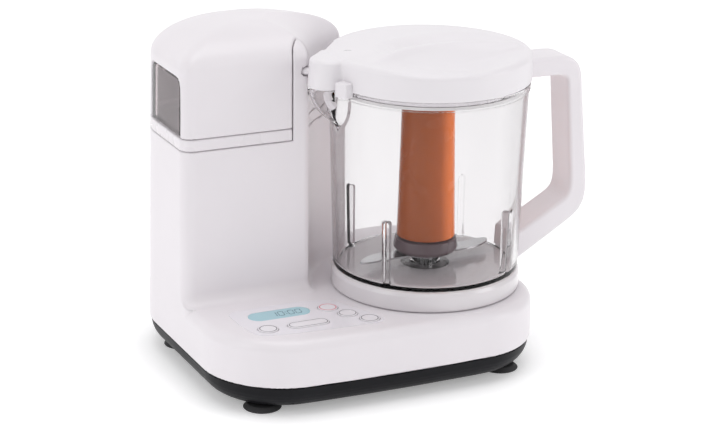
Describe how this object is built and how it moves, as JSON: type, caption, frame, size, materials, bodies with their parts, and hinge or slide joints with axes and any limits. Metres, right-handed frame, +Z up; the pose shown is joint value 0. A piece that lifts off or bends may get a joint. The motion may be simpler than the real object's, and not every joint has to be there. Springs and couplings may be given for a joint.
{
  "type": "baby food maker",
  "caption": "Countertop baby food maker: a steam and blend machine with a lift-off water tank on its tower, a glass bowl with lid and blade, and a key panel.",
  "frame": {"origin": "on the table under the middle of the whole object's bounding box", "axes": "+X to the bowl side (the handle's end), +Z up, the key panel faces -Y"},
  "size_m": [0.2772, 0.195, 0.2233],
  "materials": {
    "white_plastic": "soft satin white shell",
    "black_plastic": "fine matt",
    "grey_rubber": "matt",
    "white_silicone": "matt",
    "smoke_plastic": "clear smoked",
    "clear_glass": "clear",
    "pale_grey_plastic": "satin",
    "amber_plastic": "translucent amber",
    "dark_plastic": "satin",
    "brushed_steel": "brushed",
    "cast_aluminium": "as cast",
    "copper_winding": "enamelled wire",
    "brass": "turned",
    "circuit_green": "solder mask",
    "lcd_cyan": "clear window over a pale blue display",
    "key_white": "satin",
    "panel_white": "glossy film"
  },
  "bodies": {
    "base": {"housing": "white_plastic", "base_tray": "black_plastic", "tray_screw_front_left": "brushed_steel", "tray_screw_front_right": "brushed_steel", "tray_screw_rear_left": "brushed_steel", "tray_screw_rear_right": "brushed_steel", "foot_front_left": "grey_rubber", "foot_front_right": "grey_rubber", "foot_rear_left": "grey_rubber", "foot_rear_right": "grey_rubber", "control_panel": "panel_white", "lcd_lens": "lcd_cyan", "lcd_module": "dark_plastic", "control_board": "circuit_green", "motor_can": "brushed_steel", "motor_bracket": "cast_aluminium", "lower_bearing": "brass", "upper_bearing": "brass", "drive_belt": "grey_rubber", "bowl_switch": "dark_plastic", "cord_grommet": "grey_rubber", "boiler": "cast_aluminium", "boiler_heater": "brushed_steel", "water_hose": "white_silicone", "steam_pipe": "white_silicone", "steam_outlet": "white_silicone", "tank_socket": "white_plastic", "socket_seal": "white_silicone"},
    "rotor": {"motor_rotor": "copper_winding", "cooling_fan": "white_plastic", "motor_pulley": "dark_plastic"},
    "drive": {"drive_pulley": "dark_plastic", "drive_shaft": "brushed_steel", "drive_coupling": "dark_plastic"},
    "tank": {"tank_cover": "white_plastic", "tank_rim": "white_plastic", "tank_body": "smoke_plastic", "valve_cap": "white_plastic"},
    "valve": {"valve_plunger": "dark_plastic"},
    "bowl_unit": {"bowl": "clear_glass", "bowl_collar": "pale_grey_plastic", "bowl_bush": "brass", "bowl_handle": "white_plastic"},
    "blade": {"driven_coupling": "dark_plastic", "blade_spindle": "brushed_steel", "blade_sleeve": "amber_plastic", "blade_hub": "dark_plastic", "blade_set": "brushed_steel"},
    "lid_unit": {"lid": "white_plastic", "lid_gasket": "white_silicone", "steam_nozzle": "white_plastic"},
    "stop_key": {"key_stop": "key_white"},
    "puree_key": {"key_puree": "key_white"},
    "blend_key": {"key_blend": "key_white"},
    "steam_key": {"key_steam": "key_white"},
    "auto_key": {"key_auto": "key_white"}
  },
  "joints": [
    {"name": "motor_spin", "type": "hinge", "parent": "base", "child": "rotor", "pos_m": [-0.05788, 0.04772, 0.04], "axis": [0, 0, 1], "continuous": true},
    {"name": "drive_spin", "type": "hinge", "parent": "base", "child": "drive", "pos_m": [0.02537, -0.02473, 0.03], "axis": [0, 0, 1], "continuous": true},
    {"name": "tank_lift", "type": "slide", "parent": "base", "child": "tank", "axis": [0, 0, 1], "range_m": [0, 0.09]},
    {"name": "valve_slide", "type": "slide", "parent": "tank", "child": "valve", "axis": [0, 0, 1], "range_m": [0, 0.002], "stiffness_N_per_m": 300, "springref_m": -0.0005},
    {"name": "bowl_lift", "type": "slide", "parent": "base", "child": "bowl_unit", "axis": [0, 0, 1], "range_m": [0, 0.08]},
    {"name": "blade_spin", "type": "hinge", "parent": "bowl_unit", "child": "blade", "pos_m": [0.02537, -0.02473, 0.1], "axis": [0, 0, 1], "continuous": true},
    {"name": "lid_lift", "type": "slide", "parent": "bowl_unit", "child": "lid_unit", "axis": [0, 0, 1], "range_m": [0, 0.05]},
    {"name": "stop_press", "type": "slide", "parent": "base", "child": "stop_key", "axis": [0, 0, -1], "range_m": [0, 0.0008], "stiffness_N_per_m": 600, "springref_m": -0.0003},
    {"name": "puree_press", "type": "slide", "parent": "base", "child": "puree_key", "axis": [0, 0, -1], "range_m": [0, 0.0008], "stiffness_N_per_m": 600, "springref_m": -0.0003},
    {"name": "blend_press", "type": "slide", "parent": "base", "child": "blend_key", "axis": [0, 0, -1], "range_m": [0, 0.0008], "stiffness_N_per_m": 600, "springref_m": -0.0003},
    {"name": "steam_press", "type": "slide", "parent": "base", "child": "steam_key", "axis": [0, 0, -1], "range_m": [0, 0.0008], "stiffness_N_per_m": 600, "springref_m": -0.0003},
    {"name": "auto_press", "type": "slide", "parent": "base", "child": "auto_key", "axis": [0, 0, -1], "range_m": [0, 0.0008], "stiffness_N_per_m": 600, "springref_m": -0.0003}
  ],
  "couplings": [
    {"joint": "drive_spin", "follows": "motor_spin", "ratio": 0.33333},
    {"joint": "blade_spin", "follows": "motor_spin", "ratio": 0.33333}
  ]
}
